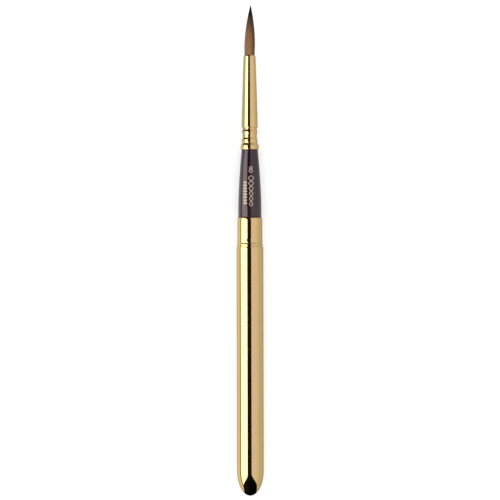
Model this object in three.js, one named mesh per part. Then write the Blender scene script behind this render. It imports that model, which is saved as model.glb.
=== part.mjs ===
// A reversible pocket watercolour brush, size 8, with a round pointed hair tuft.
//
// Units are millimetres. The brush lies on its side along X, hair tip towards +X, with +Z up.
// The flat underside of the handle tube rests on z = 0, and the origin is under the middle of
// the brush. A "station" is a distance along the brush, measured from the domed end of the
// handle. Every piece is turned about the brush's own axis.
import * as THREE from "three";

// ---- Driving dimensions -----------------------------------------------------------------
const TOTAL_LENGTH = 218;

const TUBE_RADIUS = 5.95;
const TUBE_WALL = 0.375;
const TUBE_LENGTH = 110.5;
const TUBE_DOME_LENGTH = 11.1;
const TUBE_LIP_LENGTH = 0.5;
const TUBE_LIP_DROP = 0.25;

const SLEEVE_RADIUS = 5.525;
const SLEEVE_WALL = 0.33;
const SLEEVE_REAR = 96.3;
const SLEEVE_FRONT = 123.75;
const SLEEVE_DOME_LENGTH = 2;
const SLEEVE_LIP_LENGTH = 0.5;
const BEAD_REAR = 110.75;
const BEAD_GROOVE = 112.1;
const BEAD_GROOVE_HALF_WIDTH = 0.12;
const BEAD_GROOVE_RADIUS = 5.43;
const BEAD_RADIUS = 5.7;
const SHOULDER_FRONT = 113.7;
const SHOULDER_RADIUS = 5.61;

const RING_STATION = 101.5;
const RING_GROOVE_RADIUS = 4.85;
const RING_GROOVE_WIDTH = 0.9;
const RING_GROOVE_SLOPE = 0.2;
const RING_INNER_RADIUS = 4.88;
const RING_OUTER_RADIUS = 5.545;

const GRIP_REAR = 98.6;
const GRIP_PILOT_RADIUS = 4.45;
const GRIP_PILOT_LENGTH = 4.2;
const GRIP_RADIUS = 5.15;
const GRIP_TAPER_START = 127;
const GRIP_TAPER_END = 153.6;
const GRIP_FRONT_RADIUS = 3.62;
const GRIP_TAPER_POWER = 1.6;
const GRIP_TENON_START = 155.5;
const GRIP_TENON_RADIUS = 2.84;
const GRIP_TENON_END = 168;
const GRIP_CHAMFER = 0.3;

const FERRULE_WALL = 0.3;
const FERRULE_REAR = 153.6;
const FERRULE_BAND_RADIUS = 4;
const FERRULE_BAND_FRONT = 155.95;
const FERRULE_NECK_RADIUS = 3.44;
const FERRULE_NECK_FRONT = 156.6;
const CRIMP_GROOVE_RADIUS = 3.215;
const REAR_RIDGE_RADIUS = 3.525;
const REAR_RIDGE_FRONT = 158.4;
const FRONT_RIDGE_RADIUS = 3.485;
const FRONT_RIDGE_REAR = 160.8;
const FRONT_RIDGE_FRONT = 162.1;
const CRIMP_STEP = 0.25;
const CONE_REAR = 163.4;
const CONE_REAR_RADIUS = 3.57;
const CONE_FRONT = 195.3;
const CONE_FRONT_RADIUS = 2.64;
const CONE_SWELL = 0.05;
const FERRULE_EDGE = 0.12;

const HAIR_ROOT = 177.3;
const HAIR_BELLY_RADIUS = 2.34;
const HAIR_POINT_LENGTH = 17;
const HAIR_POINT_FULLNESS = 1.68;
const HAIR_CLEARANCE = 0.08;
const BINDING_REAR = 178.6;
const BINDING_FRONT = 180.6;
const BINDING_DEPTH = 0.8;
const BINDING_CLEARANCE = 0.05;
const BINDING_BEVEL = 0.2;
const CEMENT_REAR = 172.5;
const CEMENT_FRONT = 177;

const SIDES = 32;
const DOME_STEPS = 8;
const SMALL_ARC_STEPS = 3;

// ---- Materials --------------------------------------------------------------------------
function material(color, roughness, metalness) {
  return new THREE.MeshStandardMaterial({ color, roughness, metalness });
}

const gold = material(0xd9b35c, 0.16, 1);
const lacqueredWood = material(0x2e2225, 0.3, 0);
const hair = material(0x84603f, 0.55, 0);
const thread = material(0xb9a888, 0.8, 0);
const resin = material(0xc9a56a, 0.35, 0);
const rubber = material(0x1b1b1c, 0.7, 0);

// ---- Profiles: lists of [station, radius] -------------------------------------------------

// A quarter ellipse that leaves the axis at `tip` and reaches `radius` at `tip + length`.
function domeArc(tip, length, radius, steps = DOME_STEPS) {
  const points = [];
  for (let step = 0; step <= steps; step += 1) {
    const angle = (step / steps) * (Math.PI / 2);
    points.push([tip + length * (1 - Math.cos(angle)), radius * Math.sin(angle)]);
  }
  return points;
}

// The rounded outer corner of a tube mouth, from full radius to `radius - drop` at `mouth`.
function lipArc(mouth, length, radius, drop) {
  const points = [];
  for (let step = 0; step <= SMALL_ARC_STEPS; step += 1) {
    const angle = (step / SMALL_ARC_STEPS) * (Math.PI / 2);
    const station = mouth - length * (1 - Math.sin(angle));
    points.push([station, radius - drop * (1 - Math.cos(angle))]);
  }
  return points;
}

// A half-round ridge standing on `base` between two stations.
function ridgeArc(rear, front, base, top, steps = 4) {
  const points = [];
  for (let step = 0; step <= steps; step += 1) {
    const angle = (step / steps) * Math.PI;
    const station = rear + ((front - rear) * (1 - Math.cos(angle))) / 2;
    points.push([station, base + (top - base) * Math.sin(angle)]);
  }
  return points;
}

function lowered(profile, amount) {
  return profile.map(([station, radius]) => [station, Math.max(radius - amount, 0)]);
}

// Closes a hollow profile by repeating its first point.
function ringed(profile) {
  return [...profile, profile[0]];
}

// The radius at the corners of a polygon whose flats are `radius` from the axis.
function acrossFlats(radius) {
  return radius / Math.cos(Math.PI / SIDES);
}

// Turns a profile about the brush's axis, with one facet facing straight down.
function turned(name, profile, surface) {
  const middle = TOTAL_LENGTH / 2;
  const points = profile.map(([station, radius]) => new THREE.Vector2(radius, station - middle));
  const geometry = new THREE.LatheGeometry(points, SIDES, Math.PI / SIDES);
  const mesh = new THREE.Mesh(geometry, surface);
  mesh.name = name;
  mesh.rotation.z = -Math.PI / 2;
  return mesh;
}

// ---- Handle -----------------------------------------------------------------------------

// A drawn brass tube with a closed domed end and an open, rounded mouth. Its radii are
// across the flats, so that the bore is never tighter than its nominal size.
function handleTube() {
  const bore = TUBE_RADIUS - TUBE_WALL;
  const outside = [
    ...domeArc(0, TUBE_DOME_LENGTH, TUBE_RADIUS),
    ...lipArc(TUBE_LENGTH, TUBE_LIP_LENGTH, TUBE_RADIUS, TUBE_LIP_DROP),
  ];
  const inside = domeArc(TUBE_WALL, TUBE_DOME_LENGTH - TUBE_WALL, bore);
  inside.push([TUBE_LENGTH, bore]);
  const profile = [...outside, ...inside.reverse()];
  const wide = profile.map(([station, radius]) => [station, acrossFlats(radius)]);
  return turned("handle_tube", wide, gold);
}

// ---- Head: connector sleeve and friction ring ---------------------------------------------

// The groove for the friction ring, rolled into the rear spigot of the sleeve.
function ringGroove(radius, depth) {
  const half = RING_GROOVE_WIDTH / 2;
  return [
    [RING_STATION - half - RING_GROOVE_SLOPE, radius],
    [RING_STATION - half, radius - depth],
    [RING_STATION + half, radius - depth],
    [RING_STATION + half + RING_GROOVE_SLOPE, radius],
  ];
}

// A drawn cup that carries the grip. Either end plugs into the handle, up to the bead.
function connectorSleeve() {
  const bore = SLEEVE_RADIUS - SLEEVE_WALL;
  const grooveDepth = SLEEVE_RADIUS - RING_GROOVE_RADIUS;
  const beadFront = BEAD_GROOVE - BEAD_GROOVE_HALF_WIDTH;
  const shoulderRear = BEAD_GROOVE + BEAD_GROOVE_HALF_WIDTH;
  const outside = [
    ...domeArc(SLEEVE_REAR, SLEEVE_DOME_LENGTH, SLEEVE_RADIUS, 6),
    ...ringGroove(SLEEVE_RADIUS, grooveDepth),
    ...ridgeArc(BEAD_REAR, beadFront, SLEEVE_RADIUS, BEAD_RADIUS),
    [BEAD_GROOVE, BEAD_GROOVE_RADIUS],
    ...ridgeArc(shoulderRear, SHOULDER_FRONT, SLEEVE_RADIUS, SHOULDER_RADIUS),
    ...lipArc(SLEEVE_FRONT, SLEEVE_LIP_LENGTH, SLEEVE_RADIUS, SLEEVE_WALL - 0.03),
  ];
  const inside = [
    ...domeArc(SLEEVE_REAR + SLEEVE_WALL, SLEEVE_DOME_LENGTH - SLEEVE_WALL, bore, 6),
    ...ringGroove(bore, grooveDepth),
    [SLEEVE_FRONT, bore],
  ];
  return turned("connector_sleeve", [...outside, ...inside.reverse()], gold);
}

// The elastic ring in the groove that gives the push fit its grip.
function frictionRing() {
  const corners = 8;
  const middle = (RING_OUTER_RADIUS + RING_INNER_RADIUS) / 2;
  const half = (RING_OUTER_RADIUS - RING_INNER_RADIUS) / 2;
  const section = [];
  for (let corner = 0; corner < corners; corner += 1) {
    const angle = (corner / corners) * 2 * Math.PI;
    section.push([RING_STATION - half * Math.cos(angle), middle + half * Math.sin(angle)]);
  }
  return turned("friction_ring", ringed(section), rubber);
}

// ---- Head: grip ---------------------------------------------------------------------------

// The swelling of the lacquered grip between the sleeve and the ferrule.
function gripTaper() {
  const steps = 7;
  const drop = GRIP_RADIUS - GRIP_FRONT_RADIUS;
  const points = [];
  for (let step = 0; step <= steps; step += 1) {
    const share = step / steps;
    const station = THREE.MathUtils.lerp(GRIP_TAPER_START, GRIP_TAPER_END, share);
    points.push([station, GRIP_RADIUS - drop * share ** GRIP_TAPER_POWER]);
  }
  return points;
}

// Turned wood: a pilot and a thick tenon in the sleeve, and a thin tenon in the ferrule.
function grip() {
  const pilotEnd = GRIP_REAR + GRIP_PILOT_LENGTH;
  const profile = [
    [GRIP_REAR, 0],
    [GRIP_REAR, GRIP_PILOT_RADIUS - GRIP_CHAMFER],
    [GRIP_REAR + GRIP_CHAMFER, GRIP_PILOT_RADIUS],
    [pilotEnd, GRIP_PILOT_RADIUS],
    [pilotEnd + GRIP_CHAMFER, GRIP_RADIUS],
    ...gripTaper(),
    [GRIP_TENON_START, GRIP_FRONT_RADIUS],
    [GRIP_TENON_START, GRIP_TENON_RADIUS],
    [GRIP_TENON_END - GRIP_CHAMFER, GRIP_TENON_RADIUS],
    [GRIP_TENON_END, GRIP_TENON_RADIUS - GRIP_CHAMFER],
    [GRIP_TENON_END, 0],
  ];
  return turned("grip", profile, lacqueredWood);
}

// ---- Head: ferrule ------------------------------------------------------------------------

// The outside radius of the smooth cone of the ferrule, which swells very slightly.
function coneRadius(station) {
  const share = (station - CONE_REAR) / (CONE_FRONT - CONE_REAR);
  const straight = THREE.MathUtils.lerp(CONE_REAR_RADIUS, CONE_FRONT_RADIUS, share);
  return straight + 4 * CONE_SWELL * share * (1 - share);
}

// The tail band and the two rolled crimps that lock the ferrule to the grip's tenon.
function crimpProfile() {
  return [
    [FERRULE_REAR, FERRULE_BAND_RADIUS],
    [FERRULE_BAND_FRONT, FERRULE_BAND_RADIUS],
    [FERRULE_BAND_FRONT + CRIMP_STEP, FERRULE_NECK_RADIUS],
    [FERRULE_NECK_FRONT, FERRULE_NECK_RADIUS],
    [FERRULE_NECK_FRONT + CRIMP_STEP, REAR_RIDGE_RADIUS],
    [REAR_RIDGE_FRONT, REAR_RIDGE_RADIUS],
    [REAR_RIDGE_FRONT + CRIMP_STEP, CRIMP_GROOVE_RADIUS],
    [FRONT_RIDGE_REAR - CRIMP_STEP, CRIMP_GROOVE_RADIUS],
    [FRONT_RIDGE_REAR + CRIMP_STEP, FRONT_RIDGE_RADIUS],
    [FRONT_RIDGE_FRONT - CRIMP_STEP, FRONT_RIDGE_RADIUS],
    [FRONT_RIDGE_FRONT, CRIMP_GROOVE_RADIUS],
    [CONE_REAR - CRIMP_STEP, CRIMP_GROOVE_RADIUS],
  ];
}

function coneProfile() {
  const steps = 5;
  const points = [];
  for (let step = 0; step <= steps; step += 1) {
    const station = THREE.MathUtils.lerp(CONE_REAR, CONE_FRONT, step / steps);
    points.push([station, coneRadius(station)]);
  }
  return points;
}

// A seamless drawn ferrule with an even wall and softened outer edges.
function ferrule() {
  const middle = [...crimpProfile(), ...coneProfile()];
  const inside = lowered(middle, FERRULE_WALL).reverse();
  const outside = [...middle];
  const [rearStation, rearRadius] = outside.shift();
  const [frontStation, frontRadius] = outside.pop();
  const profile = [
    [rearStation, rearRadius - FERRULE_EDGE],
    [rearStation + FERRULE_EDGE, rearRadius],
    ...outside,
    [frontStation - FERRULE_EDGE, frontRadius],
    [frontStation, frontRadius - FERRULE_EDGE],
    ...inside,
  ];
  return turned("ferrule", ringed(profile), gold);
}

// ---- Head: hair, thread and cement ----------------------------------------------------------

// The largest radius of anything that fills the ferrule's cone at a station.
function fillRadius(station) {
  return coneRadius(station) - FERRULE_WALL - HAIR_CLEARANCE;
}

// The radius of the free tuft: a full belly drawn to a fine point.
function tuftRadius(station) {
  const fromTip = Math.min((TOTAL_LENGTH - station) / HAIR_POINT_LENGTH, 1);
  return HAIR_BELLY_RADIUS * (1 - (1 - fromTip) ** HAIR_POINT_FULLNESS);
}

// The hair from its cut root, through the waist under the thread, to its point.
function hairTuft() {
  const steps = 10;
  const waist = fillRadius(BINDING_REAR) - BINDING_DEPTH;
  const bellyFront = TOTAL_LENGTH - HAIR_POINT_LENGTH;
  const profile = [
    [HAIR_ROOT, 0],
    [HAIR_ROOT, fillRadius(HAIR_ROOT)],
    [BINDING_REAR - BINDING_BEVEL, fillRadius(BINDING_REAR)],
    [BINDING_REAR, waist],
    [BINDING_FRONT, waist],
    [BINDING_FRONT + BINDING_BEVEL, fillRadius(BINDING_FRONT)],
    [CONE_FRONT, fillRadius(CONE_FRONT)],
  ];
  for (let step = 0; step <= steps; step += 1) {
    const station = THREE.MathUtils.lerp(bellyFront, TOTAL_LENGTH, step / steps);
    profile.push([station, tuftRadius(station)]);
  }
  return turned("hair_tuft", profile, hair);
}

// The waxed thread tied round the roots before the tuft is set in the ferrule.
function rootBinding() {
  const rear = BINDING_REAR + BINDING_CLEARANCE;
  const front = BINDING_FRONT - BINDING_CLEARANCE;
  const outer = fillRadius(BINDING_FRONT);
  const inner = fillRadius(BINDING_REAR) - BINDING_DEPTH + BINDING_CLEARANCE;
  const section = [
    [rear, inner],
    [rear, outer - BINDING_BEVEL],
    [rear + BINDING_BEVEL, outer],
    [front - BINDING_BEVEL, outer],
    [front, outer - BINDING_BEVEL],
    [front, inner],
  ];
  return turned("root_binding", ringed(section), thread);
}

// The plug of cement poured behind the roots.
function hairCement() {
  const profile = [
    [CEMENT_REAR, 0],
    [CEMENT_REAR, fillRadius(CEMENT_REAR)],
    [CEMENT_FRONT, fillRadius(CEMENT_FRONT)],
    [CEMENT_FRONT, 0],
  ];
  return turned("hair_cement", profile, resin);
}

// ---- Assembly -----------------------------------------------------------------------------
const brush = new THREE.Group();
brush.add(handleTube());
brush.add(frictionRing());
brush.add(connectorSleeve());
brush.add(grip());
brush.add(ferrule());
brush.add(hairCement());
brush.add(rootBinding());
brush.add(hairTuft());
brush.position.z = TUBE_RADIUS;

export default brush;
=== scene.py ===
import math
import random

import bmesh
import bpy
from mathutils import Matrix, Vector


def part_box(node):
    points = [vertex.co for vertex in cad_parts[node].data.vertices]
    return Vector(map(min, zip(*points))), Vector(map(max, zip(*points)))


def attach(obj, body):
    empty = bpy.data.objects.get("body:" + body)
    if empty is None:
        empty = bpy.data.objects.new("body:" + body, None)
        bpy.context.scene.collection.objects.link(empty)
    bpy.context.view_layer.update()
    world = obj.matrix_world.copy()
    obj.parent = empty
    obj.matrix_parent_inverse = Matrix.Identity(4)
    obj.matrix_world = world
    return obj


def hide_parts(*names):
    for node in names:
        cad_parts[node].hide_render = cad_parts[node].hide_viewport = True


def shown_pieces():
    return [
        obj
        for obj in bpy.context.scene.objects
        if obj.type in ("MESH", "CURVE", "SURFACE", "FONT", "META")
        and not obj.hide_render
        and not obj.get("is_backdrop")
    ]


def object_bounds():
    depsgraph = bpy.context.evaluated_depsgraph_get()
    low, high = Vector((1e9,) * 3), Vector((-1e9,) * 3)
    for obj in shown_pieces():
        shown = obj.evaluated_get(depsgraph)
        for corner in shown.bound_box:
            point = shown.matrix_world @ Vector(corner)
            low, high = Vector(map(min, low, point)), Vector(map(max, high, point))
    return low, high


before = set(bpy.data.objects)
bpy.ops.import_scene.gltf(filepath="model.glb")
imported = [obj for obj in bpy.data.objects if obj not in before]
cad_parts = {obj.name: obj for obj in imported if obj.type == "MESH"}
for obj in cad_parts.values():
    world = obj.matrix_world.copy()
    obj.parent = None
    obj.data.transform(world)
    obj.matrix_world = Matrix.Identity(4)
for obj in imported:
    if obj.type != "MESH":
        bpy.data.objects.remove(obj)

CAD_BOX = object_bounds()
MM = 0.001

# ---- Where the brush lies, in metres --------------------------------------------------------
TUBE_LOW, TUBE_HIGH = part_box("handle_tube")
REAR_X = CAD_BOX[0].x
FRONT_X = CAD_BOX[1].x
AXIS_Z = (TUBE_LOW.z + TUBE_HIGH.z) / 2

# ---- Driving dimensions, in millimetres -----------------------------------------------------
TOTAL_LENGTH = (FRONT_X - REAR_X) / MM

TUBE_RADIUS = (TUBE_HIGH.z - TUBE_LOW.z) / 2 / MM
TUBE_LENGTH = (TUBE_HIGH.x - TUBE_LOW.x) / MM
TUBE_WALL = 0.375
TUBE_DOME_LENGTH = 11.1
TUBE_LIP_LENGTH = 0.5
TUBE_LIP_DROP = 0.25

SLEEVE_RADIUS = 5.525
SLEEVE_WALL = 0.33
SLEEVE_REAR = 96.3
SLEEVE_FRONT = 123.3
SLEEVE_DOME_LENGTH = 2
SLEEVE_LIP_LENGTH = 0.75
SLEEVE_LIP_DROP = 0.28
BEAD_REAR = 110.75
BEAD_GROOVE = 112.1
BEAD_FLANK = 0.55
BEAD_GROOVE_RADIUS = 5.43
BEAD_RADIUS = 5.7
SHOULDER_FRONT = 113.7
SHOULDER_RADIUS = 5.61

RING_STATION = 101.5
RING_GROOVE_RADIUS = 4.85
RING_GROOVE_WIDTH = 0.9
RING_GROOVE_SLOPE = 0.2
RING_INNER_RADIUS = 4.88
RING_OUTER_RADIUS = 5.545

GRIP_REAR = 98.6
GRIP_PILOT_RADIUS = 4.45
GRIP_PILOT_LENGTH = 4.2
GRIP_RADIUS = 5.15
GRIP_TAPER_START = 127
GRIP_TAPER_END = 153.6
GRIP_FRONT_RADIUS = 3.62
GRIP_TAPER_POWER = 1.6
GRIP_TENON_START = 155.4
GRIP_TENON_RADIUS = 2.84
GRIP_TENON_END = 168
GRIP_CHAMFER = 0.3
METAL_EDGE_BAND = 0.7

FERRULE_WALL = 0.3
FERRULE_REAR = 153.6
FERRULE_BAND_RADIUS = 4
FERRULE_BAND_MIDDLE = 154.775
FERRULE_BAND_FRONT = 155.425
FERRULE_BAND_FLANK = 1.05
FERRULE_BAND_CROWN = 0.06
FERRULE_NECK_RADIUS = 3.34
REAR_RIDGE_REAR = 156.925
REAR_RIDGE_FRONT = 157.95
REAR_RIDGE_RADIUS = 3.48
FRONT_RIDGE_REAR = 161.05
FRONT_RIDGE_FRONT = 161.525
FRONT_RIDGE_RADIUS = 3.44
CRIMP_GROOVE_RADIUS = 3.15
CRIMP_FLANK = 0.85
CRIMP_RISE = 0.5
CONE_REAR = 163.4
CONE_REAR_RADIUS = 3.57
CONE_FRONT = 195.3
CONE_FRONT_RADIUS = 2.64
CONE_SWELL = 0.05
FERRULE_LIP_LENGTH = 0.45
FERRULE_LIP_DROP = 0.12

HAIR_ROOT = 177.3
HAIR_BELLY_RADIUS = 2.35
HAIR_POINT_LENGTH = 18.8
HAIR_POINT_FULLNESS = 1.88
HAIR_LEAVE_LENGTH = 4
HAIR_CLEARANCE = 0.08
HAIR_BEND = 0.52
HAIR_BEND_POWER = 1.15
BINDING_REAR = 178.6
BINDING_FRONT = 180.6
BINDING_DEPTH = 0.8
CEMENT_REAR = 172.5
CEMENT_FRONT = 177

TURN_SIDES = 128
SLIM_SIDES = 96
CORE_SIDES = 144
SHARP_ANGLE = math.radians(35)


# ---- Points and meshes ----------------------------------------------------------------------

def lerp(start, end, share):
    return start + (end - start) * share


def place(station, radius, angle, sideways=0.0):
    """A point in metres. Angle 0 is straight up, and positive angles and sideways go towards -Y."""
    x = REAR_X + station * MM
    y = -(radius * math.sin(angle) + sideways) * MM
    z = AXIS_Z + radius * math.cos(angle) * MM
    return Vector((x, y, z))


def bend(station):
    """How far the free hair leans towards -Y. In the ferrule and behind it nothing leans."""
    share = max(0, (station - CONE_FRONT) / (TOTAL_LENGTH - CONE_FRONT))
    return HAIR_BEND * share ** HAIR_BEND_POWER


def add_piece(name, mesh, material, body, slot, *nodes):
    """Puts a finished mesh in the scene as a piece that rides on a body and stands for CAD nodes."""
    mesh.materials.append(material)
    mesh.shade_smooth()
    mesh.set_sharp_from_angle(angle=SHARP_ANGLE)
    piece = bpy.data.objects.new(name, mesh)
    bpy.context.scene.collection.objects.link(piece)
    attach(piece, body)
    if nodes:
        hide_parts(*nodes)


def finished(name, bm):
    """Turns a bmesh into a mesh whose faces point out."""
    bmesh.ops.recalc_face_normals(bm, faces=bm.faces)
    mesh = bpy.data.meshes.new(name)
    bm.to_mesh(mesh)
    bm.free()
    return mesh


def bridge(bm, rear, front):
    """Faces between two rings of vertices, either of which may be a single point on the axis."""
    count = max(len(rear), len(front))
    for index in range(count):
        after = (index + 1) % count
        corners = [rear[index % len(rear)], rear[after % len(rear)]]
        corners += [front[after % len(front)], front[index % len(front)]]
        bm.faces.new(list(dict.fromkeys(corners)))


def capped_run(bm, rings):
    """Joins rings of vertices one after another and closes both ends."""
    for rear, front in zip(rings, rings[1:]):
        bridge(bm, rear, front)
    bm.faces.new(rings[0])
    bm.faces.new(rings[-1])


def supported(profile, reach=0.05):
    """Adds a point close to each end of a long straight run, so that its shading stays true."""
    long_run = 8 * reach
    points = [profile[0]]
    for start, end in zip(profile, profile[1:]):
        length = math.dist(start, end)
        if length > long_run:
            for share in (reach / length, 1 - reach / length):
                points.append((lerp(start[0], end[0], share), lerp(start[1], end[1], share)))
        points.append(end)
    return points


def turned(name, profile, sides=TURN_SIDES, flute=None):
    """A turned solid from (station, radius) points that end on the axis or close on themselves."""
    on_axis = 1e-6
    points = supported(profile)
    bm = bmesh.new()
    rings = []
    for station, radius in points:
        if radius < on_axis:
            rings.append([bm.verts.new(place(station, 0, 0, bend(station)))])
            continue
        ring = []
        for side in range(sides):
            angle = side / sides * math.tau
            scale = flute(station, angle) if flute else 1
            ring.append(bm.verts.new(place(station, radius * scale, angle, bend(station))))
        rings.append(ring)
    if points[0] == points[-1]:
        for vertex in rings[-1]:
            bm.verts.remove(vertex)
        rings[-1] = rings[0]
    for rear, front in zip(rings, rings[1:]):
        bridge(bm, rear, front)
    return finished(name, bm)


# ---- Profiles -------------------------------------------------------------------------------

def dome_arc(tip, length, radius, steps=40):
    """A quarter ellipse from the axis at tip to its full radius at tip + length."""
    points = []
    for step in range(steps + 1):
        angle = step / steps * math.pi / 2
        points.append((tip + length * (1 - math.cos(angle)), radius * math.sin(angle)))
    return points


def lip_arc(mouth, length, radius, drop, steps=10):
    """The rounded outer corner of a tube's mouth."""
    points = []
    for step in range(steps + 1):
        angle = step / steps * math.pi / 2
        station = mouth - length * (1 - math.sin(angle))
        points.append((station, radius - drop * (1 - math.cos(angle))))
    return points


def softened(corners, steps=6):
    """Rounds (station, radius, softness) corners; softness is how far off each curve starts."""
    most = 0.48
    points = []
    for index, (station, radius, softness) in enumerate(corners):
        if softness == 0 or index in (0, len(corners) - 1):
            points.append((station, radius))
            continue
        here = Vector((station, radius))
        before = Vector(corners[index - 1][:2]) - here
        after = Vector(corners[index + 1][:2]) - here
        start = here + before.normalized() * min(softness, before.length * most)
        end = here + after.normalized() * min(softness, after.length * most)
        for step in range(steps + 1):
            share = step / steps
            point = start.lerp(here, share).lerp(here.lerp(end, share), share)
            points.append((point.x, point.y))
    return points


# ---- Shader helpers -------------------------------------------------------------------------

def colour_ramp(tree, value, stops):
    """A colour ramp from (position, colour) stops."""
    node = tree.nodes.new("ShaderNodeValToRGB")
    elements = node.color_ramp.elements
    while len(elements) < len(stops):
        elements.new(0.5)
    for element, (position, colour) in zip(elements, stops):
        element.position = position
        element.color = (*colour, 1)
    tree.links.new(value, node.inputs["Fac"])
    return node.outputs["Color"]


def coordinate(tree, kind, axis):
    """One axis of a texture coordinate."""
    where = tree.nodes.new("ShaderNodeTexCoord")
    split = tree.nodes.new("ShaderNodeSeparateXYZ")
    tree.links.new(where.outputs[kind], split.inputs["Vector"])
    return split.outputs[axis]


def mix_shaders(tree, factor, first, second, end):
    """Sends a mix of two shaders to the node at the end of the tree."""
    either = tree.nodes.new("ShaderNodeMixShader")
    tree.links.new(factor, either.inputs["Fac"])
    tree.links.new(first, either.inputs[1])
    tree.links.new(second, either.inputs[2])
    tree.links.new(either.outputs["Shader"], tree.nodes[end].inputs["Surface"])


class Shader:
    """A Principled material and short ways to add the nodes that vary it over the surface."""

    def __init__(self, name, **values):
        self.material = bpy.data.materials.new(name)
        self.material.use_nodes = True
        self.tree = self.material.node_tree
        self.surface = self.tree.nodes["Principled BSDF"]
        for socket, value in values.items():
            self.surface.inputs[socket.replace("_", " ")].default_value = value
        self.place = self.tree.nodes.new("ShaderNodeTexCoord").outputs["Object"]

    def link(self, output, target):
        self.tree.links.new(output, target)

    def feed(self, socket, value):
        """Sets a socket to a number or a colour, or links an output to it."""
        if isinstance(value, (int, float, tuple)):
            socket.default_value = value
        else:
            self.link(value, socket)

    def stretched(self, x, y, z):
        """The place on the piece, in the row frame, with each direction scaled."""
        node = self.tree.nodes.new("ShaderNodeMapping")
        node.inputs["Scale"].default_value = (x, y, z)
        self.link(self.place, node.inputs["Vector"])
        return node.outputs["Vector"]

    def noise(self, vector, scale, detail=3.0, roughness=0.55):
        node = self.tree.nodes.new("ShaderNodeTexNoise")
        node.inputs["Scale"].default_value = scale
        node.inputs["Detail"].default_value = detail
        node.inputs["Roughness"].default_value = roughness
        self.link(vector, node.inputs["Vector"])
        return node.outputs["Fac"]

    def mapped(self, value, low, high, to_low, to_high):
        """A value moved from one range to another, and kept within the second."""
        node = self.tree.nodes.new("ShaderNodeMapRange")
        numbers = {"From Min": low, "From Max": high, "To Min": to_low, "To Max": to_high}
        for socket, number in numbers.items():
            node.inputs[socket].default_value = number
        self.link(value, node.inputs["Value"])
        return node.outputs["Result"]

    def math(self, operation, first, second):
        node = self.tree.nodes.new("ShaderNodeMath")
        node.operation = operation
        for socket, value in zip(node.inputs, (first, second)):
            self.feed(socket, value)
        return node.outputs["Value"]

    def mixed(self, factor, first, second, blend="MIX"):
        """A mix of two colours. A Mix node's colour sockets are found by number."""
        node = self.tree.nodes.new("ShaderNodeMix")
        node.data_type = "RGBA"
        node.blend_type = blend
        for number, value in ((0, factor), (6, first), (7, second)):
            self.feed(node.inputs[number], value)
        return node.outputs[2]

    def ramp(self, value, stops):
        return colour_ramp(self.tree, value, stops)

    def attribute(self, name):
        node = self.tree.nodes.new("ShaderNodeAttribute")
        node.attribute_name = name
        return node.outputs["Fac"]

    def position(self, axis):
        """The place along one axis of the row frame, in metres."""
        return coordinate(self.tree, "Object", axis)

    def colour(self, output):
        self.link(output, self.surface.inputs["Base Color"])

    def roughness(self, output):
        self.link(output, self.surface.inputs["Roughness"])

    def bump(self, height, distance):
        node = self.tree.nodes.new("ShaderNodeBump")
        node.inputs["Strength"].default_value = 1.0
        node.inputs["Distance"].default_value = distance
        self.link(height, node.inputs["Height"])
        self.link(node.outputs["Normal"], self.surface.inputs["Normal"])


# ---- Materials ------------------------------------------------------------------------------

def plated_gold(name):
    """Polished gold plate: faint drawing lines, hairline scratches and soft handling smudges."""
    shader = Shader(name, Metallic=1.0)
    smudges = shader.noise(shader.stretched(0.35, 1, 1), scale=420, detail=4)
    lines = shader.noise(shader.stretched(0.012, 1, 1), scale=9000, detail=2)
    scratches = shader.noise(shader.stretched(1, 0.06, 0.06), scale=5200, detail=5, roughness=0.7)
    tone = shader.mapped(smudges, 0.3, 0.7, 0, 1)
    shader.colour(shader.mixed(tone, (1.0, 0.70, 0.28, 1), (0.985, 0.725, 0.315, 1)))
    worn = shader.math("ADD", smudges, shader.mapped(scratches, 0.62, 0.8, 0, 0.35))
    shader.roughness(shader.mapped(worn, 0.3, 0.9, 0.045, 0.11))
    shader.bump(shader.math("ADD", lines, scratches), 0.0003 * MM)
    return shader.material


def stained_wood(shader, grain):
    """The stain's colour: near black, browner and warmer towards the sleeve."""
    figure = shader.noise(shader.stretched(0.2, 1, 1), scale=480)
    stain = shader.ramp(grain, [(0.3, (0.005, 0.0025, 0.0035)), (0.7, (0.016, 0.008, 0.010))])
    warm = shader.ramp(grain, [(0.3, (0.013, 0.005, 0.004)), (0.7, (0.036, 0.017, 0.014))])
    warm_from, warm_by = 0.040, 0.014
    rearward = shader.mapped(shader.position("X"), warm_from, warm_by, 0, 1)
    share = shader.math("MULTIPLY", rearward, shader.mapped(figure, 0.3, 0.7, 0.2, 1))
    return shader.mixed(share, stain, warm)


def metal_edge_bands(shader):
    """Where the wood is browner and thinly coated: 1 under the metal and in a narrow band beside it, and
    0 between.
    """
    rear, front = [REAR_X + station * MM for station in (SLEEVE_FRONT, FERRULE_REAR)]
    width = METAL_EDGE_BAND * MM
    rear_edge = shader.mapped(shader.position("X"), rear + width, rear + width / 2, 0, 1)
    front_edge = shader.mapped(shader.position("X"), front - width, front - width / 2, 0, 1)
    return shader.math("MAXIMUM", rear_edge, front_edge)


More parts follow.
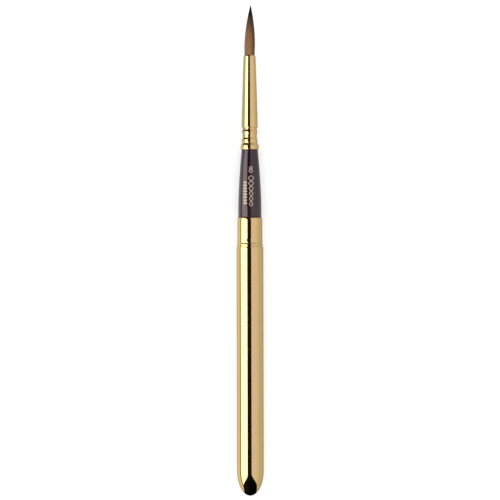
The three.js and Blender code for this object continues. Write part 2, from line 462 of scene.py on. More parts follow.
def dark_lacquer():
    """Dark stained wood with long pores, under clear lacquer. Beside the metal a narrow band is browner
    and thinly coated, which draws a brown line along each joint.
    """
    shader = Shader(
        "lacquered_dark_wood",
        Specular_IOR_Level=0.5,
        Specular_Tint=(0.75, 0.30, 0.40, 1),
        Coat_Weight=1.0,
        Coat_Roughness=0.06,
        Coat_IOR=1.6,
    )
    grain = shader.noise(shader.stretched(0.07, 1, 1), scale=2600, detail=6, roughness=0.65)
    specks = shader.noise(shader.stretched(0.05, 1, 1), scale=5200, detail=2)
    pores = shader.mapped(specks, 0.6, 0.68, 0, 1)
    wood = shader.mixed(pores, stained_wood(shader, grain), (0.004, 0.002, 0.002, 1))
    edge = metal_edge_bands(shader)
    shader.colour(shader.mixed(edge, wood, (0.030, 0.013, 0.006, 1)))
    shader.link(shader.mapped(edge, 0, 1, 1, 0.15), shader.surface.inputs["Coat Weight"])
    shader.roughness(shader.mapped(grain, 0.3, 0.7, 0.1, 0.2))
    shader.bump(grain, 0.002 * MM)
    return shader.material


def pale_print():
    """A pale gold print, satin and slightly broken up by the grain below it."""
    shader = Shader("pressed_pale_print", Metallic=0.3)
    mottle = shader.noise(shader.stretched(1, 1, 1), scale=6500)
    shader.colour(shader.ramp(mottle, [(0.3, (0.34, 0.285, 0.21)), (0.65, (0.53, 0.46, 0.36))]))
    shader.roughness(shader.mapped(mottle, 0.3, 0.7, 0.45, 0.7))
    shader.bump(mottle, 0.006 * MM)
    return shader.material


# Colours along the free hair, from 0 at the ferrule's mouth to 1 at the point.
HAIR_COLOURS = [
    (0.0, (0.290, 0.160, 0.070)),
    (0.23, (0.290, 0.145, 0.066)),
    (0.42, (0.250, 0.118, 0.056)),
    (0.52, (0.185, 0.090, 0.043)),
    (0.62, (0.112, 0.055, 0.026)),
    (0.745, (0.070, 0.033, 0.017)),
    (0.785, (0.026, 0.016, 0.011)),
    (0.81, (0.009, 0.008, 0.008)),
    (1.0, (0.012, 0.011, 0.012)),
]


def hair_colour(shader, strand):
    """Sable by station: brown belly, darker towards the point, near-black tips, and a painted sheen that
    greys the sides.
    """
    uneven = 0.3 * MM
    shift = shader.mapped(strand, 0, 1, -uneven, uneven)
    along = shader.math("ADD", shader.position("X"), shift)
    forward = shader.mapped(along, REAR_X + CONE_FRONT * MM, FRONT_X, 0, 1)
    brown = shader.ramp(forward, HAIR_COLOURS)
    # Painted sheen: the hair turns a cool grey towards its sides.
    painted_sheen_grey = shader.mixed(1.0, brown, (0.62, 0.78, 1.0, 1), "MULTIPLY")
    from_middle = shader.math("ABSOLUTE", shader.position("Y"), 0)
    return shader.mixed(shader.mapped(from_middle, 0.9 * MM, 2.2 * MM, 0, 0.45), brown, painted_sheen_grey)


def sable(name, depth):
    """Sable hair with lighter and darker strands, and painted shade that darkens its -Y side, away from
    the light. Depth is how bright; the inner hairs get less, as painted shade.
    """
    shader = Shader(name, Roughness=0.48, Specular_IOR_Level=0.22)
    strand = shader.attribute("strand")
    streaks = shader.noise(shader.stretched(0.03, 1, 1), scale=5200)
    by_strand = shader.mapped(strand, 0, 1, -0.35, 0.35)
    by_streak = shader.mapped(streaks, 0.3, 0.7, -0.2, 0.2)
    light = shader.math("ADD", shader.math("ADD", by_strand, by_streak), 1.0)
    light = shader.math("MULTIPLY", light, depth)
    # Painted shade: the hair darkens towards its -Y side, away from the light.
    side = shader.mapped(shader.position("Y"), -1.8 * MM, -0.2 * MM, 0.5, 1)
    node = shader.tree.nodes.new("ShaderNodeHueSaturation")
    shader.link(shader.math("MULTIPLY", light, side), node.inputs["Value"])
    shader.link(hair_colour(shader, strand), node.inputs["Color"])
    shader.colour(node.outputs["Color"])
    shader.roughness(shader.mapped(streaks, 0.3, 0.7, 0.4, 0.56))
    shader.bump(streaks, 0.008 * MM)
    return shader.material


def ring_rubber():
    """Matt black rubber with a fine grain."""
    shader = Shader("black_ring_rubber", Specular_IOR_Level=0.35)
    grain = shader.noise(shader.stretched(1, 1, 1), scale=5200, detail=4)
    shader.colour(shader.ramp(grain, [(0.3, (0.010, 0.010, 0.011)), (0.7, (0.024, 0.024, 0.025))]))
    shader.roughness(shader.mapped(grain, 0.3, 0.7, 0.55, 0.8))
    shader.bump(grain, 0.01 * MM)
    return shader.material


def winding_thread():
    """Waxed thread with fibres that run round the winding."""
    shader = Shader("waxed_winding_thread", Specular_IOR_Level=0.4, Sheen_Weight=0.3)
    fibres = shader.noise(shader.stretched(1, 0.3, 0.3), scale=16000)
    shader.colour(shader.ramp(fibres, [(0.3, (0.30, 0.23, 0.14)), (0.7, (0.55, 0.46, 0.32))]))
    shader.roughness(shader.mapped(fibres, 0.3, 0.7, 0.5, 0.75))
    shader.bump(fibres, 0.01 * MM)
    return shader.material


def set_cement():
    """Amber cement, cloudy and slightly glossy."""
    shader = Shader("set_hair_cement", Specular_IOR_Level=0.5, Coat_Weight=0.3, Coat_Roughness=0.2)
    clouds = shader.noise(shader.stretched(1, 1, 1), scale=1500, detail=5)
    shader.colour(shader.ramp(clouds, [(0.3, (0.36, 0.20, 0.07)), (0.7, (0.62, 0.42, 0.18))]))
    shader.roughness(shader.mapped(clouds, 0.3, 0.7, 0.28, 0.5))
    shader.bump(clouds, 0.03 * MM)
    return shader.material


# ---- Handle ---------------------------------------------------------------------------------

def handle_tube():
    """A drawn tube with a closed domed end and a rounded mouth."""
    bore = TUBE_RADIUS - TUBE_WALL
    inner_edge = 0.06
    outside = dome_arc(0, TUBE_DOME_LENGTH, TUBE_RADIUS)
    lip = lip_arc(TUBE_LENGTH, TUBE_LIP_LENGTH, TUBE_RADIUS, TUBE_LIP_DROP)
    mouth = softened([(*lip[-1], 0), (TUBE_LENGTH, bore, inner_edge), (TUBE_LENGTH - 1, bore, 0)])
    inside = dome_arc(TUBE_WALL, TUBE_DOME_LENGTH - TUBE_WALL, bore)
    return turned("handle_tube_shell", [*outside, *lip, *mouth[1:], *inside[::-1]])


# ---- Head -----------------------------------------------------------------------------------

def ring_groove(radius, depth):
    """The rolled groove that holds the friction ring."""
    half = RING_GROOVE_WIDTH / 2
    soft = 0.1
    return [
        (RING_STATION - half - RING_GROOVE_SLOPE, radius, soft),
        (RING_STATION - half, radius - depth, soft),
        (RING_STATION + half, radius - depth, soft),
        (RING_STATION + half + RING_GROOVE_SLOPE, radius, soft),
    ]


def double_bead():
    """The bead that meets the tube's mouth, a fine groove, and the shoulder in front of it."""
    soft = 0.12
    return softened([
        (BEAD_REAR, SLEEVE_RADIUS, 0),
        (BEAD_REAR + BEAD_FLANK / 3, BEAD_RADIUS, soft),
        (BEAD_GROOVE - BEAD_FLANK, BEAD_RADIUS, soft),
        (BEAD_GROOVE, BEAD_GROOVE_RADIUS, soft / 2),
        (BEAD_GROOVE + BEAD_FLANK / 3, SHOULDER_RADIUS, soft),
        (SHOULDER_FRONT - BEAD_FLANK, SHOULDER_RADIUS, soft * 2),
        (SHOULDER_FRONT, SLEEVE_RADIUS, soft),
        (SHOULDER_FRONT + BEAD_FLANK, SLEEVE_RADIUS, 0),
    ])


def sleeve():
    """A drawn cup with a friction groove, a double bead and a rounded front mouth."""
    dome_steps = 14
    bore = SLEEVE_RADIUS - SLEEVE_WALL
    depth = SLEEVE_RADIUS - RING_GROOVE_RADIUS
    rear = dome_arc(SLEEVE_REAR, SLEEVE_DOME_LENGTH, SLEEVE_RADIUS, dome_steps)
    bead = double_bead()
    spigot = softened([(*rear[-1], 0), *ring_groove(SLEEVE_RADIUS, depth), (*bead[0], 0)])
    lip = lip_arc(SLEEVE_FRONT, SLEEVE_LIP_LENGTH, SLEEVE_RADIUS, SLEEVE_LIP_DROP)
    inner_rear = SLEEVE_REAR + SLEEVE_WALL
    inner = dome_arc(inner_rear, SLEEVE_DOME_LENGTH - SLEEVE_WALL, bore, dome_steps)
    inside = softened([(*inner[-1], 0), *ring_groove(bore, depth), (SLEEVE_FRONT, bore, 0)])
    profile = [*rear, *spigot[1:], *bead[1:], *lip, *inside[::-1], *inner[-2::-1]]
    return turned("connector_sleeve_shell", profile)


def friction_ring():
    """The elastic ring, round in section."""
    steps = 28
    middle = (RING_OUTER_RADIUS + RING_INNER_RADIUS) / 2
    half = (RING_OUTER_RADIUS - RING_INNER_RADIUS) / 2
    section = []
    for step in range(steps):
        angle = step / steps * math.tau
        section.append((RING_STATION - half * math.cos(angle), middle + half * math.sin(angle)))
    return turned("friction_o_ring", [*section, section[0]])


def grip_radius(station):
    """The radius of the visible part of the grip."""
    share = (station - GRIP_TAPER_START) / (GRIP_TAPER_END - GRIP_TAPER_START)
    drop = GRIP_RADIUS - GRIP_FRONT_RADIUS
    return GRIP_RADIUS - drop * min(max(share, 0), 1) ** GRIP_TAPER_POWER


def grip():
    """Turned wood with a pilot and tenon for the sleeve and a thin tenon for the ferrule."""
    steps = 48
    soft = GRIP_CHAMFER * 0.6
    pilot_end = GRIP_REAR + GRIP_PILOT_LENGTH
    rear = [
        (GRIP_REAR, 0, 0),
        (GRIP_REAR, GRIP_PILOT_RADIUS - GRIP_CHAMFER, soft),
        (GRIP_REAR + GRIP_CHAMFER, GRIP_PILOT_RADIUS, soft),
        (pilot_end, GRIP_PILOT_RADIUS, soft / 2),
        (pilot_end + GRIP_CHAMFER, GRIP_RADIUS, soft),
        (GRIP_TAPER_START, GRIP_RADIUS, 0),
    ]
    taper = []
    for step in range(1, steps + 1):
        station = lerp(GRIP_TAPER_START, GRIP_TAPER_END, step / steps)
        taper.append((station, grip_radius(station)))
    front = [
        (GRIP_TAPER_END, GRIP_FRONT_RADIUS, 0),
        (GRIP_TENON_START, GRIP_FRONT_RADIUS, soft),
        (GRIP_TENON_START, GRIP_TENON_RADIUS, soft / 2),
        (GRIP_TENON_END - GRIP_CHAMFER, GRIP_TENON_RADIUS, soft),
        (GRIP_TENON_END, GRIP_TENON_RADIUS - GRIP_CHAMFER, soft),
        (GRIP_TENON_END, 0, 0),
    ]
    return turned("turned_grip", [*softened(rear), *taper, *softened(front)[1:]])


def cone_radius(station):
    """The outside radius of the smooth cone of the ferrule, which swells a little midway."""
    share = (station - CONE_REAR) / (CONE_FRONT - CONE_REAR)
    straight = lerp(CONE_REAR_RADIUS, CONE_FRONT_RADIUS, share)
    return straight + 4 * CONE_SWELL * share * (1 - share)


def crimp_corners():
    """The tail band and two rolled crimps. The edges that face the hair are the crisp ones."""
    crisp, soft = 0.07, 0.22
    band_edge = FERRULE_BAND_RADIUS - FERRULE_BAND_CROWN
    return [
        (FERRULE_REAR, band_edge, soft),
        (FERRULE_BAND_MIDDLE, FERRULE_BAND_RADIUS, soft * 3),
        (FERRULE_BAND_FRONT, band_edge, crisp),
        (FERRULE_BAND_FRONT + FERRULE_BAND_FLANK, FERRULE_NECK_RADIUS, crisp),
        (REAR_RIDGE_REAR, REAR_RIDGE_RADIUS, soft),
        (REAR_RIDGE_FRONT, REAR_RIDGE_RADIUS, crisp),
        (REAR_RIDGE_FRONT + CRIMP_FLANK, CRIMP_GROOVE_RADIUS, crisp),
        (FRONT_RIDGE_REAR - CRIMP_RISE, CRIMP_GROOVE_RADIUS, soft),
        (FRONT_RIDGE_REAR, FRONT_RIDGE_RADIUS, soft),
        (FRONT_RIDGE_FRONT, FRONT_RIDGE_RADIUS, crisp),
        (FRONT_RIDGE_FRONT + CRIMP_FLANK, CRIMP_GROOVE_RADIUS, crisp),
        (CONE_REAR - CRIMP_RISE / 2, CRIMP_GROOVE_RADIUS, crisp * 2),
        (CONE_REAR, CONE_REAR_RADIUS, soft),
    ]


def ferrule():
    """A seamless drawn ferrule with an even wall and softened edges."""
    steps = 24
    edge = 0.1
    outer = crimp_corners()
    for step in range(1, steps + 1):
        station = lerp(CONE_REAR, CONE_FRONT - FERRULE_LIP_LENGTH, step / steps)
        outer.append((station, cone_radius(station), 0))
    inner = [(station, radius - FERRULE_WALL, softness) for station, radius, softness in outer]
    outer[-1] = (*outer[-1][:2], edge)
    outer.append((CONE_FRONT, cone_radius(CONE_FRONT) - FERRULE_LIP_DROP, edge / 2))
    inner.append((CONE_FRONT, cone_radius(CONE_FRONT) - FERRULE_WALL, edge / 2))
    inner[0] = (*inner[0][:2], edge)
    start = (FERRULE_REAR, FERRULE_BAND_RADIUS - FERRULE_WALL / 2 - FERRULE_BAND_CROWN, 0)
    corners = [start, *outer, *inner[::-1], start]
    return turned("ferrule_shell", softened(corners), SLIM_SIDES)


# ---- Hair, thread and cement ----------------------------------------------------------------

def fill_radius(station):
    """The radius of what fills the ferrule's cone."""
    return cone_radius(station) - FERRULE_WALL - HAIR_CLEARANCE


def tuft_radius(station):
    """The radius of the hair: waisted under the thread, full at the belly, drawn to a point."""
    if BINDING_REAR <= station <= BINDING_FRONT:
        return fill_radius(BINDING_REAR) - BINDING_DEPTH
    if station <= CONE_FRONT:
        return fill_radius(station)
    from_tip = (TOTAL_LENGTH - station) / HAIR_POINT_LENGTH
    free = HAIR_BELLY_RADIUS * (1 - (1 - min(from_tip, 1)) ** HAIR_POINT_FULLNESS)
    leave = min((station - CONE_FRONT) / HAIR_LEAVE_LENGTH, 1)
    leave = leave * leave * (3 - 2 * leave)
    return lerp(fill_radius(CONE_FRONT), free, leave)


def core_waves():
    """The waves round the hair core: how many there are, where they start and how deep they are."""
    source = random.Random(8)
    waves = []
    for _ in range(7):
        count = source.randint(17, 61)
        phase = source.uniform(0, math.tau)
        depth = source.uniform(0.004, 0.01)
        waves.append((count, phase, depth))
    return waves


def hair_core():
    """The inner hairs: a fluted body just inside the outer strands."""
    waves = core_waves()
    twist = 0.004
    core_share = 0.955
    bevel = 0.15
    covered = 4
    steps = 40
    core_tip = TOTAL_LENGTH - 0.9

    def flute(station, angle):
        around = angle + (station - HAIR_ROOT) * twist
        return 1 + sum(depth * math.sin(count * around + phase) for count, phase, depth in waves)

    profile = [(HAIR_ROOT, 0), (HAIR_ROOT, tuft_radius(HAIR_ROOT) * core_share)]
    profile.append((BINDING_REAR - bevel, fill_radius(BINDING_REAR) * core_share))
    for station in (BINDING_REAR, BINDING_FRONT):
        profile.append((station, tuft_radius(station) * core_share))
    profile.append((BINDING_FRONT + bevel, fill_radius(BINDING_FRONT) * core_share))
    for step in range(steps):
        station = lerp(CONE_FRONT - covered, core_tip, step / steps)
        profile.append((station, tuft_radius(station) * core_share))
    profile.append((core_tip, 0))
    return turned("hair_core", profile, CORE_SIDES, flute)


STRAND_COUNT = 620
STRAND_SIDES = 4
STRAND_RADIUS = 0.058
STRAND_ROOT = HAIR_ROOT + 0.2
STRAND_LONGEST = TOTAL_LENGTH - 0.1
STRAND_INWARD = 0.10
STRAND_INWARD_POWER = 1.6
STRAND_SHORTEN = 11
STRAND_SHORTEN_POWER = 2.4
STRAND_LEAN = 0.10
STRAND_SWAY = 0.05
STRAND_SWAY_RATE = 7
STRAND_TAPER_LENGTH = 6
STRAND_TIP_SHARE = 0.12


def strand_stations(end):
    """Where one hair has a ring of points: over the binding, up the cone and out to its end."""
    steps = 15
    outside, inside = 0.1, 0.15
    up_the_cone = [186, 192]
    last_covered = CONE_FRONT - 0.6
    stations = [STRAND_ROOT, BINDING_REAR - outside, BINDING_REAR + inside]
    stations += [BINDING_FRONT - inside, BINDING_FRONT + outside, *up_the_cone]
    stations += [lerp(last_covered, end, step / steps) for step in range(steps + 1)]
    return stations


def strand_path(source):
    """One hair: its angle, how far out it lies, where it ends, and its small wander."""
    angle = source.uniform(0, math.tau)
    share = 1 - STRAND_INWARD * source.random() ** STRAND_INWARD_POWER
    end = STRAND_LONGEST - STRAND_SHORTEN * source.random() ** STRAND_SHORTEN_POWER
    lean = source.uniform(-STRAND_LEAN, STRAND_LEAN)
    sway = source.uniform(-STRAND_SWAY, STRAND_SWAY)
    phase = source.uniform(0, math.tau)
    path = []
    for station in strand_stations(end):
        along = (station - STRAND_ROOT) / (end - STRAND_ROOT)
        turn = angle + lean * along + sway * math.sin(along * STRAND_SWAY_RATE + phase)
        taper = min(1, (end - station) / STRAND_TAPER_LENGTH + STRAND_TIP_SHARE)
        thickness = STRAND_RADIUS * taper
        radius = max(share * tuft_radius(station) - thickness, thickness * 0.3)
        path.append((station, radius, turn, thickness))
    return path


def strand_ring(station, radius, turn, thickness):
    """The points round one hair at one station."""
    along_skin = Vector((0, -math.cos(turn), -math.sin(turn)))
    points = []
    for side in range(STRAND_SIDES):
        around = side / STRAND_SIDES * math.tau
        out = radius + thickness * math.cos(around)
        across = thickness * math.sin(around)
        points.append(place(station, out, turn, bend(station)) + along_skin * across * MM)
    return points


def strand_faces(base, ring_count):
    """The sides and both ends of one hair, whose first point has the number base."""
    faces = []
    for ring in range(ring_count - 1):
        low = base + ring * STRAND_SIDES
        high = low + STRAND_SIDES
        for side in range(STRAND_SIDES):
            after = (side + 1) % STRAND_SIDES
            faces.append((low + side, low + after, high + after, high + side))
    last = base + (ring_count - 1) * STRAND_SIDES
    faces.append(tuple(base + side for side in reversed(range(STRAND_SIDES))))
    faces.append(tuple(last + side for side in range(STRAND_SIDES)))
    return faces


def hair_strands():
    """The outer hairs, each a thin tapered tube, with a number that varies its colour."""
    source = random.Random(2208)
    vertices, faces, tones = [], [], []
    for _ in range(STRAND_COUNT):
        tone = source.random()
        path = strand_path(source)
        faces += strand_faces(len(vertices), len(path))
        for spot in path:
            vertices += strand_ring(*spot)
        tones += [tone] * (len(path) * STRAND_SIDES)
    mesh = bpy.data.meshes.new("hair_strands")
    mesh.from_pydata(vertices, [], faces)
    mesh.attributes.new("strand", "FLOAT", "POINT").data.foreach_set("value", tones)
    return mesh


THREAD_RADIUS = 0.1
THREAD_TURNS = 9
THREAD_LAYERS = 3
THREAD_LAYER_STEP = 0.18
THREAD_GAP = 0.05
THREAD_MARGIN = 0.2


def thread_middle(turn):
    """Where the thread's middle is after so many turns. Each layer runs back over the last."""
    layer = min(int(turn / THREAD_TURNS), THREAD_LAYERS - 1)
    share = turn / THREAD_TURNS - layer
    if layer % 2:
        share = 1 - share
    station = lerp(BINDING_REAR + THREAD_MARGIN, BINDING_FRONT - THREAD_MARGIN, share)
    first_layer = tuft_radius(BINDING_REAR) + THREAD_RADIUS + THREAD_GAP
    return station, first_layer + layer * THREAD_LAYER_STEP


def thread_winding():
    """Waxed thread wound round the waist of the hair, as one long coil with closed ends."""
    steps_per_turn = 48
    sides = 8
    reach = THREAD_RADIUS * 0.98
    bm = bmesh.new()
    rings = []
    for step in range(THREAD_LAYERS * THREAD_TURNS * steps_per_turn + 1):
        turn = step / steps_per_turn
        station, radius = thread_middle(turn)
        ring = []
        for side in range(sides):
            around = side / sides * math.tau
            along = station + reach * math.sin(around)
            out = radius + reach * math.cos(around)
            ring.append(bm.verts.new(place(along, out, turn * math.tau)))
        rings.append(ring)
    capped_run(bm, rings)
    return finished("thread_winding", bm)


def cement_plug():
    """The plug of cement behind the roots, with a hollow where it set."""
    soft = 0.25
    hollow, hollow_edge, hollow_share = 0.5, 0.35, 0.6
    rear_radius = fill_radius(CEMENT_REAR)
    corners = [
        (CEMENT_REAR + hollow, 0, 0),
        (CEMENT_REAR + hollow_edge, rear_radius * hollow_share, soft * 3),
        (CEMENT_REAR, rear_radius, soft / 2),
        (CEMENT_FRONT, fill_radius(CEMENT_FRONT), soft),
        (CEMENT_FRONT, 0, 0),
    ]
    return turned("cement_plug", softened(corners), SLIM_SIDES)


# ---- Printed marks on the grip --------------------------------------------------------------

PRINT_THICKNESS = 0.03
PRINT_RISE = 0.2
STROKE_WIDTH = 0.42


def print_point(bm, station, offset, level, lift=0.0):
    """A point of a print. Level -1 is its underside, inside the grip's skin, and 1 is its top."""
    skin = grip_radius(station)
    radius = skin + level * PRINT_THICKNESS / 2 + PRINT_THICKNESS * PRINT_RISE + lift
    return bm.verts.new(place(station, radius, offset / skin))


def directions(path):
    """The unit direction of a path at each of its points."""
    last = len(path) - 1
    tangents = []
    for index in range(len(path)):
        before = Vector(path[max(index - 1, 0)])
        after = Vector(path[min(index + 1, last)])
        tangents.append((after - before).normalized())
    return tangents


def stroke(bm, path, width, lift=0.0):
    """A flat printed line along (station, offset) points on the grip's skin, with rounded ends."""
    end_scales = [0.25, 0.75]
    rings = []
    for index, (point, tangent) in enumerate(zip(path, directions(path))):
        from_end = min(index, len(path) - 1 - index)
        scale = end_scales[from_end] if from_end < len(end_scales) else 1
        across = Vector((-tangent.y, tangent.x)) * (width / 2) * scale
        ring = []
        for side, level in ((1, -1), (1, 1), (-1, 1), (-1, -1)):
            spot = Vector(point) + across * side
            ring.append(print_point(bm, spot.x, spot.y, level, lift))
        rings.append(ring)
    capped_run(bm, rings)


def ring_band(bm, station, offset, half_length, half_width, width):
    """A closed printed ellipse."""
    steps = 36
    rings = []
    for step in range(steps):
        angle = step / steps * math.tau
        ring = []
        for grow, level in ((0.5, -1), (0.5, 1), (-0.5, 1), (-0.5, -1)):
            along = (half_length + grow * width) * math.sin(angle)
            across = (half_width + grow * width) * math.cos(angle)
            ring.append(print_point(bm, station + along, offset + across, level))
        rings.append(ring)
    for rear, front in zip(rings, [*rings[1:], rings[0]]):
        bridge(bm, rear, front)


def size_mark():
    """The size, an 8 that stands upright when the hair points up."""
    middle, offset = 144.7, 0.5
    bm = bmesh.new()
    for shift, half_length, half_width in ((0.66, 0.52, 0.58), (-0.70, 0.68, 0.74)):
        ring_band(bm, middle + shift, offset, half_length, half_width, STROKE_WIDTH * 0.8)
    return finished("size_mark", bm)


def braid_mark():
    """A plain two-strand braid along the grip, which widens towards the hair."""
    rear, front = 128.2, 141.9
    offset = 0.6
    narrow, wide = 0.72, 1.3
    waves = 3
    steps = 96
    second_lift = 0.006
    bm = bmesh.new()
    for strand in (0, 1):
        path = []
        for step in range(steps + 1):
            share = step / steps
            swing = lerp(narrow, wide, share ** 3)
            angle = share * waves * math.tau + strand * math.pi
            path.append((lerp(rear, front, share), offset + swing * math.sin(angle)))
        stroke(bm, path, STROKE_WIDTH * 0.75, lift=strand * second_lift)
    return finished("braid_mark", bm)


def bar_mark():
    """A row of plain bars beside the braid."""
    rear, front = 129.7, 138.9
    offset = -2.15
    count = 8
    half_height = 0.92
    bar_width = 1.0
    steps = 6
    bm = bmesh.new()
    for index in range(count):
        station = lerp(rear, front, index / (count - 1))
        path = []
        for step in range(steps + 1):
            path.append((station, offset + half_height * (step / steps - 0.5) * 2))
        stroke(bm, path, bar_width)
    return finished("bar_mark", bm)


# ---- Studio ---------------------------------------------------------------------------------

# The light's edges and its distance from the brush, in metres.
SIDE_DISTANCE = 0.8
CARD_DISTANCE = SIDE_DISTANCE + 0.01
LIGHT_REAR, LIGHT_FRONT = -3.0, 0.42
LIGHT_BOTTOM, LIGHT_TOP = 0.11, 2.0
LIGHT_GLOW = 1.62


def board(name, corners, material):
    """A flat board that is part of the studio."""
    mesh = bpy.data.meshes.new(name)
    mesh.from_pydata([Vector(corner) for corner in corners], [], [tuple(range(len(corners)))])
    mesh.materials.append(material)
    made = bpy.data.objects.new(name, mesh)
    bpy.context.scene.collection.objects.link(made)
    made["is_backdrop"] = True
    return made


def plain_material(name, glow, tint=(1, 1, 1), colour=(0, 0, 0)):
    """A matt material that glows. It is black apart from its glow unless it has a colour."""
    material = bpy.data.materials.new(name)
    material.use_nodes = True
    surface = material.node_tree.nodes["Principled BSDF"]
    surface.inputs["Base Color"].default_value = (*colour, 1)
    surface.inputs["Roughness"].default_value = 1.0
    surface.inputs["Specular IOR Level"].default_value = 0.0
    surface.inputs["Emission Color"].default_value = (*tint, 1)
    surface.inputs["Emission Strength"].default_value = glow
    return material


def one_sided(material):
    """Makes a card's material clear from behind."""
    tree = material.node_tree
    behind = tree.nodes.new("ShaderNodeNewGeometry").outputs["Backfacing"]
    front = tree.nodes["Principled BSDF"].outputs["BSDF"]
    clear = tree.nodes.new("ShaderNodeBsdfTransparent").outputs["BSDF"]
    mix_shaders(tree, behind, front, clear, "Material Output")


def seen_in_polish(tree, plain, polished, end):
    """Rays that come off polish meet the second shader, and all other rays meet the first."""
    path = tree.nodes.new("ShaderNodeLightPath")
    mix_shaders(tree, path.outputs["Is Glossy Ray"], plain, polished, end)


def soft_box():
    """One tall soft light along the +Y side. It lights the brush and not the floor."""
    length, height = LIGHT_FRONT - LIGHT_REAR, LIGHT_TOP - LIGHT_BOTTOM
    data = bpy.data.lights.new("soft_box", "AREA")
    data.shape = "RECTANGLE"
    data.size = length
    data.size_y = height
    data.energy = LIGHT_GLOW * math.pi * length * height
    light = bpy.data.objects.new("soft_box", data)
    light.location = ((LIGHT_FRONT + LIGHT_REAR) / 2, SIDE_DISTANCE, (LIGHT_TOP + LIGHT_BOTTOM) / 2)
    light.rotation_euler = (-math.pi / 2, 0, 0)
    light.visible_camera = False
    bpy.context.scene.collection.objects.link(light)
    lit = bpy.data.collections.new("lit_by_soft_box")
    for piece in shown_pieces():
        lit.objects.link(piece)
    light.light_linking.receiver_collection = lit


def card(name, corners, material):
    """A board that shows in polish, is never seen itself, and shades nothing."""
    made = board(name, corners, material)
    made.visible_camera = False
    made.visible_diffuse = False
    made.visible_shadow = False
    made.visible_transmission = False
    made.visible_volume_scatter = False


def side_card(name, rear, front, low, high, material):
    """A card that stands along the brush, just behind the light."""
    y = CARD_DISTANCE
    card(name, [(rear, y, low), (front, y, low), (front, y, high), (rear, y, high)], material)


def cross_card(name, x, right, left, material):
    """A card that stands across the line of the brush, from the floor to the light's top."""
    top = LIGHT_TOP
    card(name, [(x, right, 0), (x, left, 0), (x, left, top), (x, right, top)], material)


def flag_above():
    """A dark brown strip high above the brush. Past its kink it lies further to the +Y side."""
    height, half_length = 1.0, 4.0
    right, left = -0.20, 0.45
    kink_rear, kink_front = 0.035, 0.09
    right_front, left_front = right + 0.07, left + 0.13
    outline = [
        (-half_length, right),
        (kink_rear, right),
        (kink_front, right_front),
        (half_length, right_front),
        (half_length, left_front),
        (kink_front, left_front),
        (kink_rear, left),
        (-half_length, left),
    ]
    brown = plain_material("flag_brown", 0.012, (1.0, 0.5, 0.2))
    card("flag_above", [(x, y, height) for x, y in outline], brown)


def flags_along_light(dusk):
    """A dark card past the light's front end, and two low ones under the light."""
    far, foot = 3.0, 0.035
    dim = plain_material("foot_dim", 0.8)
    dark = plain_material("foot_dark", 0.2)
    side_card("flag_beyond_light", LIGHT_FRONT, far, 0, LIGHT_TOP, dusk)
    side_card("foot_dim", LIGHT_REAR, LIGHT_FRONT, foot, LIGHT_BOTTOM, dim)
    side_card("foot_dark", LIGHT_REAR, LIGHT_FRONT, 0, foot, dark)


def flags_past_hair(dusk):
    """Two cards, side by side, far past the point of the hair."""
    x, seam, right = 1.2, -0.25, -1.2
    half_dark = plain_material("flag_half_dark", 0.42)
    cross_card("flag_past_hair", x, seam, CARD_DISTANCE, dusk)
    cross_card("flag_past_right", x, right, seam, half_dark)


def card_beside_ferrule():
    """A pale cool card on the ferrule's +Y side, which rises away from it."""
    rear, front = 0.048, 0.13
    near, far = (0.005, 0.0005), (0.06, 0.026)
    cool = plain_material("card_cool", 1.0, (0.42, 0.50, 0.58))
    corners = [(rear, *near), (front, *near), (front, *far), (rear, *far)]
    card("card_beside_ferrule", corners, cool)


def flag_past_crimps():
    """A dark olive card across the +Y side, at the front of the crimps. Clear from the hair end."""
    x = REAR_X + CONE_REAR * MM
    # Across and up, in millimetres.
    outline = [(6, 7), (2.4, 9.6), (1, 16), (15, 16), (15, 0.2), (6, 0.2)]
    olive = plain_material("flag_olive", 0.06, (1.0, 0.95, 0.5))
    one_sided(olive)
    card("flag_past_crimps", [(x, y * MM, z * MM) for y, z in outline], olive)


def flags_round_end():
    """A black card that stands past the domed end, and another that lies under it."""
    black = plain_material("flag_black", 0.0)
    x = REAR_X - 7 * MM
    z = 0.3 * MM
    # Across and up, in millimetres.
    upright = [
        (-11, 0.3), (-14, 5), (-21, 14), (-22.5, 27), (-20, 46), (-16, 80), (-16, 135),
        (50, 135), (50, 128), (32, 76), (24.5, 53), (24.5, 25), (22.4, 13), (14, 5), (11, 0.3),
    ]
    card("flag_end", [(x, across * MM, up * MM) for across, up in upright], black)
    # Across, and along from the domed end, in millimetres.
    under = [(-11, -7), (11, -7), (5, -1.3), (2.6, 1), (-2.6, 1), (-5, -1.3)]
    flat = [(REAR_X + along * MM, across * MM, z) for across, along in under]
    card("flag_under_end", flat, black)


def cards():
    """All the cards that only polish sees."""
    dusk = plain_material("flag_dusk", 0.04)
    flag_above()
    flags_along_light(dusk)
    flags_past_hair(dusk)
    card_beside_ferrule()
    flag_past_crimps()
    flags_round_end()


# How bright the floor is in polish, from the -Y side to the +Y side, by millimetres out. The levels are
# painted light and shade: brighter on the +Y side, where the light stands, darker on the -Y side, with a
# dip round the middle for the brush's painted shadow.
FLOOR_LIGHT_AND_SHADE = [
    (-70, 0.52),
    (-50, 0.43),
    (-25, 0.58),
    (-15, 0.42),
    (-8, 0.34),
    (-2, 0.34),
    (4, 0.42),
    (12, 0.56),
    (19, 0.72),
    (30, 0.72),
    (61, 0.70),
    (65, 0.20),
    (80, 0.20),
]


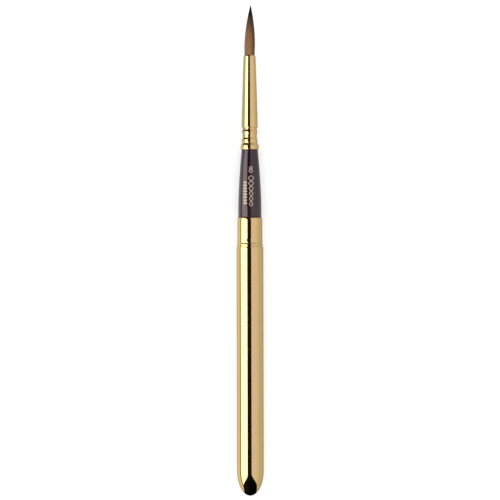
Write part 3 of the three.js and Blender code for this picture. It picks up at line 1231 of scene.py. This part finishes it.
def floor():
    """A wide white floor, which polish sees darker, with painted light and shade across it."""
    half = 12
    pale = plain_material("floor_pale", 0.38, colour=(0.8, 0.8, 0.8))
    tree = pale.node_tree
    first, last = FLOOR_LIGHT_AND_SHADE[0][0], FLOOR_LIGHT_AND_SHADE[-1][0]
    across = tree.nodes.new("ShaderNodeMapRange")
    across.inputs["From Min"].default_value = first * MM
    across.inputs["From Max"].default_value = last * MM
    tree.links.new(coordinate(tree, "Object", "Y"), across.inputs["Value"])
    stops = [((side - first) / (last - first), (level,) * 3) for side, level in FLOOR_LIGHT_AND_SHADE]
    # Painted light and shade: what polish sees of the floor, lit on the +Y side and shaded on the -Y side
    # and under the brush.
    painted_floor_light = tree.nodes.new("ShaderNodeEmission")
    tree.links.new(colour_ramp(tree, across.outputs["Result"], stops), painted_floor_light.inputs["Color"])
    white = tree.nodes["Principled BSDF"].outputs["BSDF"]
    seen_in_polish(tree, white, painted_floor_light.outputs["Emission"], "Material Output")
    board("floor", [(-half, -half, 0), (half, -half, 0), (half, half, 0), (-half, half, 0)], pale)


# What polish sees of the surroundings, from just above the horizon to straight up.
WALL_TONES = [
    (0.1, (0.53, 0.53, 0.53)),
    (0.5, (0.66, 0.645, 0.65)),
    (0.8, (0.67, 0.645, 0.78)),
    (1.0, (0.67, 0.645, 0.92)),
]


def surroundings():
    """Even white light, which polish sees as a pale wall that darkens towards the floor."""
    world = bpy.data.worlds.new("studio")
    world.use_nodes = True
    tree = world.node_tree
    even = tree.nodes["Background"]
    even.inputs["Color"].default_value = (1, 1, 1, 1)
    even.inputs["Strength"].default_value = 1.05
    wall = tree.nodes.new("ShaderNodeBackground")
    fade = colour_ramp(tree, coordinate(tree, "Generated", "Z"), WALL_TONES)
    tree.links.new(fade, wall.inputs["Color"])
    seen_in_polish(tree, even.outputs["Background"], wall.outputs["Background"], "World Output")
    bpy.context.scene.world = world


def camera():
    """Straight above the brush, with the hair at the top of the picture."""
    lens, sensor = 200, 36
    picture_width = 221.86 * MM
    shift = -0.04 * MM
    roll = 0.002
    data = bpy.data.cameras.new("camera")
    data.lens = lens
    data.sensor_width = sensor
    data.clip_start = 0.01
    data.clip_end = 20
    eye = bpy.data.objects.new("camera", data)
    bpy.context.scene.collection.objects.link(eye)
    eye.location = (0, shift, AXIS_Z + picture_width * lens / sensor)
    eye.rotation_euler = (0, 0, -math.pi / 2 - roll)
    bpy.context.scene.camera = eye


# ---- Assembly -------------------------------------------------------------------------------

camera()
handle_gold = plated_gold("gold_plate_handle")
head_gold = plated_gold("gold_plate_head")
mark_print = pale_print()
add_piece("handle_tube_shell", handle_tube(), handle_gold, "handle", "plated_brass_handle", "handle_tube")
add_piece("friction_o_ring", friction_ring(), ring_rubber(), "ring", "black_rubber", "friction_ring")
add_piece("connector_sleeve_shell", sleeve(), head_gold, "head", "plated_brass_head", "connector_sleeve")
add_piece("turned_grip", grip(), dark_lacquer(), "head", "lacquered_wood", "grip")
add_piece("ferrule_shell", ferrule(), head_gold, "head", "plated_brass_head", "ferrule")
add_piece("cement_plug", cement_plug(), set_cement(), "head", "resin", "hair_cement")
add_piece("thread_winding", thread_winding(), winding_thread(), "head", "waxed_thread", "root_binding")
# The inner hairs take a darker copy of the sable: painted shade among the outer hairs.
add_piece("hair_core", hair_core(), sable("sable_core", 0.8), "head", "sable_hair", "hair_tuft")
add_piece("hair_strands", hair_strands(), sable("sable_strands", 1.0), "head", "sable_hair", "hair_tuft")
add_piece("size_mark", size_mark(), mark_print, "head", "plated_brass_head")
add_piece("braid_mark", braid_mark(), mark_print, "head", "plated_brass_head")
add_piece("bar_mark", bar_mark(), mark_print, "head", "plated_brass_head")

floor()
soft_box()
cards()
surroundings()
bpy.context.scene.view_settings.view_transform = "Standard"
